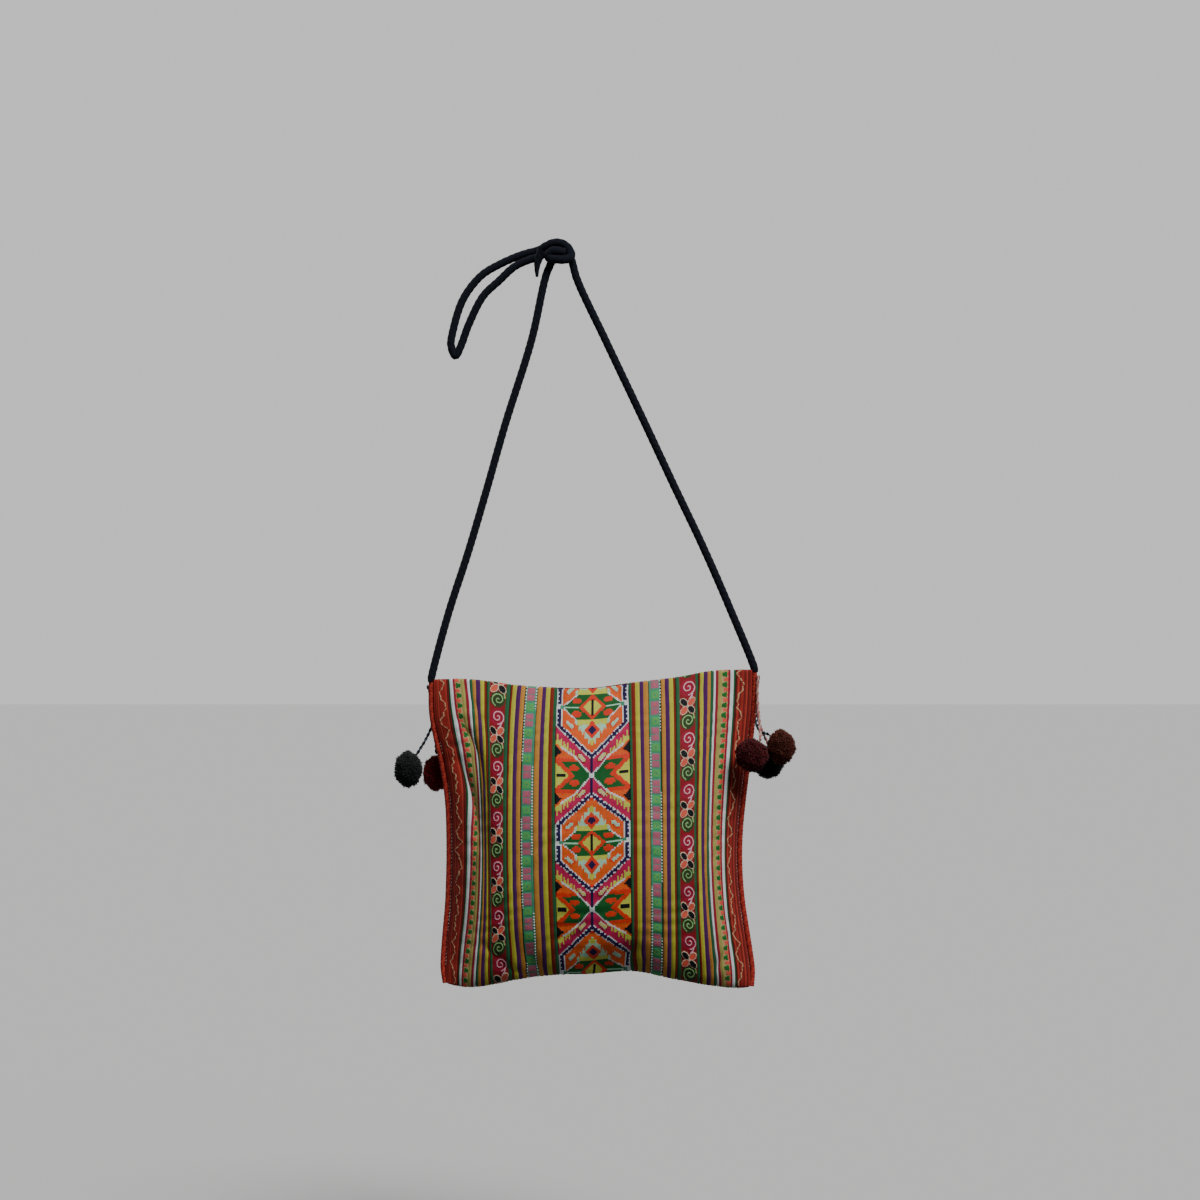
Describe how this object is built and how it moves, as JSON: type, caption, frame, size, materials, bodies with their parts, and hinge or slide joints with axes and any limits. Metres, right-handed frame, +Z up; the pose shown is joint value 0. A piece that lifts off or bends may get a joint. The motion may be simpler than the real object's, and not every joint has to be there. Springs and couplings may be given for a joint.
{
  "type": "embroidered shoulder bag",
  "caption": "Nearly square stuffed cloth shoulder bag with embroidered and striped bands, a knotted cord strap and small wool pompoms at its upper corners.",
  "frame": {"origin": "the point just under the strap's knot, midway between the tops of its two legs, where a peg or a shoulder carries the bag", "axes": "+Z up, -Y out of the embroidered front, +X to the right as seen from the front"},
  "size_m": [0.364, 0.0986, 0.6809],
  "materials": {
    "base_cloth": "dark plain cotton",
    "border_red": "red cotton with couched thread",
    "tooth_cream": "narrow woven braid with green and coral teeth",
    "stripes_outer": "cotton tapes in green, amber, purple and yellow-green",
    "flower_red": "red ribbon embroidered in satin stitch",
    "stripes_middle": "cotton tapes in red-brown, yellow-green, purple and amber",
    "brocade_green": "woven brocade ribbon",
    "stripes_inner": "cotton tapes in amber, purple, yellow-green and red-brown",
    "centre_embroidery": "counted-thread embroidery over the whole cloth",
    "binding_red": "rolled cotton edge",
    "strap_navy": "twisted cotton cord",
    "wool_grey": "trimmed wool",
    "wool_dark_red": "trimmed wool",
    "wool_crimson": "trimmed wool",
    "wool_orange": "trimmed wool",
    "cord_grey_blue": "twisted cotton",
    "cord_pink": "twisted cotton"
  },
  "bodies": {
    "root": {"front_panel": "base_cloth", "front_side_border_left": "border_red", "front_tooth_braid_left": "tooth_cream", "front_outer_stripes_left": "stripes_outer", "front_flower_ribbon_left": "flower_red", "front_middle_stripes_left": "stripes_middle", "front_brocade_ribbon_left": "brocade_green", "front_inner_stripes_left": "stripes_inner", "front_centre_panel": "centre_embroidery", "front_inner_stripes_right": "stripes_inner", "front_brocade_ribbon_right": "brocade_green", "front_middle_stripes_right": "stripes_middle", "front_flower_ribbon_right": "flower_red", "front_outer_stripes_right": "stripes_outer", "front_tooth_braid_right": "tooth_cream", "front_side_border_right": "border_red", "back_panel": "base_cloth", "back_side_border_left": "border_red", "back_tooth_braid_left": "tooth_cream", "back_outer_stripes_left": "stripes_outer", "back_flower_ribbon_left": "flower_red", "back_middle_stripes_left": "stripes_middle", "back_brocade_ribbon_left": "brocade_green", "back_inner_stripes_left": "stripes_inner", "back_centre_panel": "centre_embroidery", "back_inner_stripes_right": "stripes_inner", "back_brocade_ribbon_right": "brocade_green", "back_middle_stripes_right": "stripes_middle", "back_flower_ribbon_right": "flower_red", "back_outer_stripes_right": "stripes_outer", "back_tooth_braid_right": "tooth_cream", "back_side_border_right": "border_red", "side_binding_left": "binding_red", "side_binding_right": "binding_red", "strap_knot": "strap_navy", "strap_left": "strap_navy", "strap_right": "strap_navy", "strap_bight": "strap_navy", "strap_tail": "strap_navy", "pompom_left_grey": "wool_grey", "pompom_cord_left_grey": "cord_grey_blue", "pompom_left_red": "wool_dark_red", "pompom_cord_left_red": "cord_grey_blue", "pompom_right_crimson": "wool_crimson", "pompom_cord_right_crimson": "cord_pink", "pompom_right_orange": "wool_orange", "pompom_cord_right_orange": "cord_grey_blue", "pompom_right_grey": "wool_grey", "pompom_cord_right_grey": "cord_pink"}
  },
  "joints": []
}
